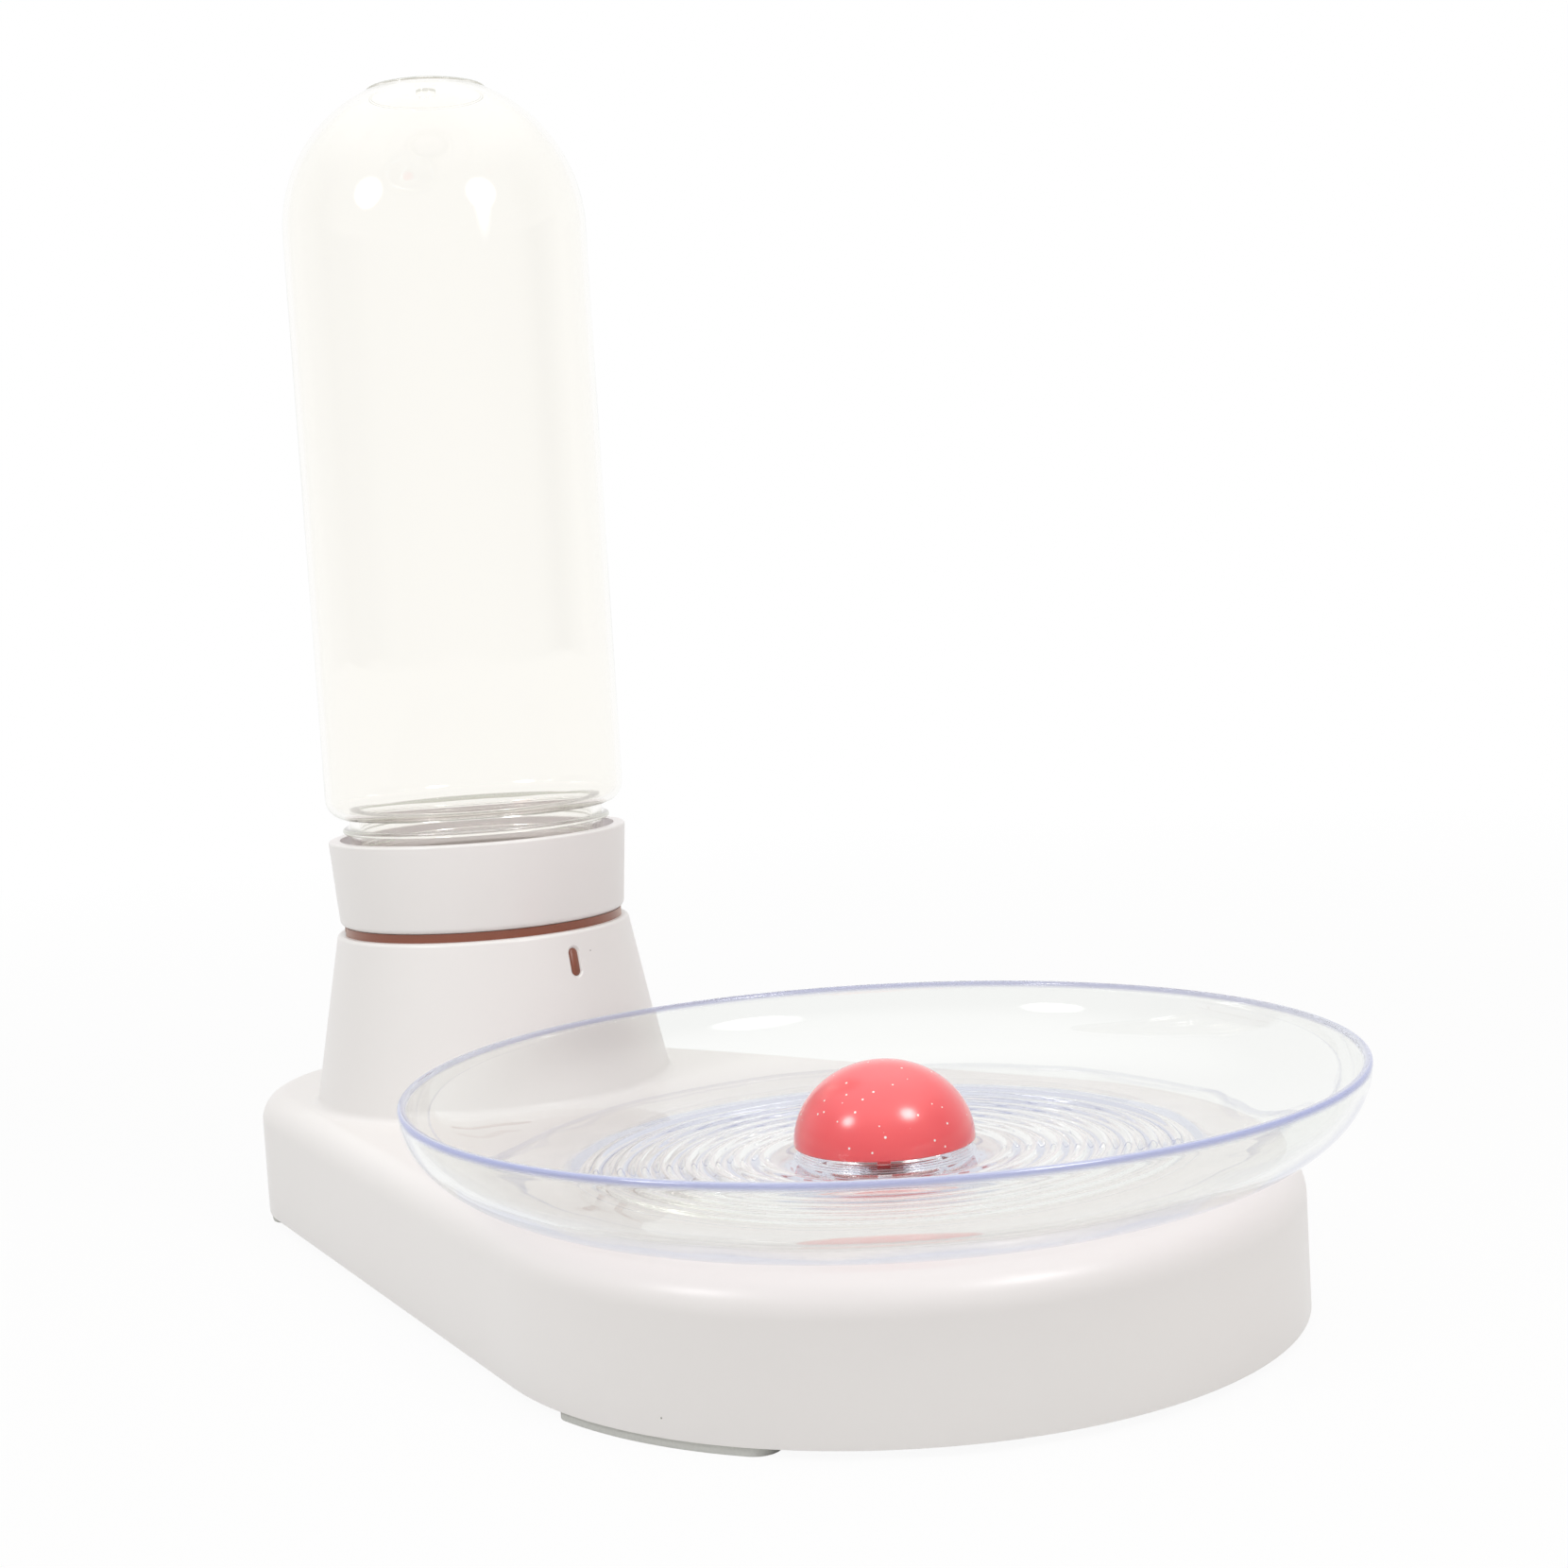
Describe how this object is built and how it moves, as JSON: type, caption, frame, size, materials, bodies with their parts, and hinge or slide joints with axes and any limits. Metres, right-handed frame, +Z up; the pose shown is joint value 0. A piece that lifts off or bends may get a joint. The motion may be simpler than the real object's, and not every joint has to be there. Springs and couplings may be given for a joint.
{
  "type": "pet water dispenser",
  "caption": "Gravity pet water dispenser: an inverted clear bottle on a white tower feeds a shallow clear ripple bowl with a coral dome over its outlet.",
  "frame": {"origin": "on the floor under the middle of the whole object, on its line of symmetry", "axes": "+Z up, +Y from the bowl towards the tower, +X to the right of one who looks along +Y"},
  "size_m": [0.1762, 0.275, 0.2489],
  "materials": {
    "white_abs": "satin white moulded ABS",
    "clear_bottle": "clear blown PET",
    "clear_bowl": "clear moulded polystyrene, violet at the edge",
    "coral_plastic": "coral translucent plastic with fine glitter",
    "grey_rubber": "grey matt rubber",
    "brown_silicone": "brown silicone",
    "pale_silicone": "translucent pale silicone",
    "valve_plastic": "plain white acetal",
    "steel": "bright stainless steel"
  },
  "bodies": {
    "base": {"base_shell": "white_abs", "base_cover": "white_abs", "cover_screws": "steel", "foot_front_left": "grey_rubber", "foot_front_right": "grey_rubber", "foot_rear_left": "grey_rubber", "foot_rear_right": "grey_rubber", "socket_liner": "brown_silicone", "sump_cup": "valve_plastic", "sump_gasket": "pale_silicone", "water_tube": "pale_silicone", "outlet_seal": "pale_silicone", "bowl": "clear_bowl"},
    "cap": {"bottle_cap": "white_abs", "cap_gasket": "pale_silicone", "valve_guide": "valve_plastic", "valve_spring": "steel"},
    "bottle": {"bottle": "clear_bottle"},
    "valve": {"valve_stem": "valve_plastic", "valve_seal": "pale_silicone"},
    "dome": {"dome_cap": "coral_plastic"}
  },
  "joints": [
    {"name": "bottle_twist", "type": "hinge", "parent": "base", "child": "cap", "pos_m": [0, 0.07575, 0.0669], "axis": [0, 0, 1], "range_deg": [-30, 0]},
    {"name": "bottle_unscrew", "type": "hinge", "parent": "cap", "child": "bottle", "pos_m": [0, 0.07575, 0.0731], "axis": [0, 0, 1], "range_deg": [0, 360]},
    {"name": "valve_slide", "type": "slide", "parent": "cap", "child": "valve", "axis": [0, 0, 1], "range_m": [0, 0.002], "stiffness_N_per_m": 25, "springref_m": -0.002, "deforming": ["valve_spring"]},
    {"name": "dome_turn", "type": "hinge", "parent": "base", "child": "dome", "pos_m": [0, -0.04945, 0.03], "axis": [0, 0, 1], "range_deg": [0, 180]}
  ]
}
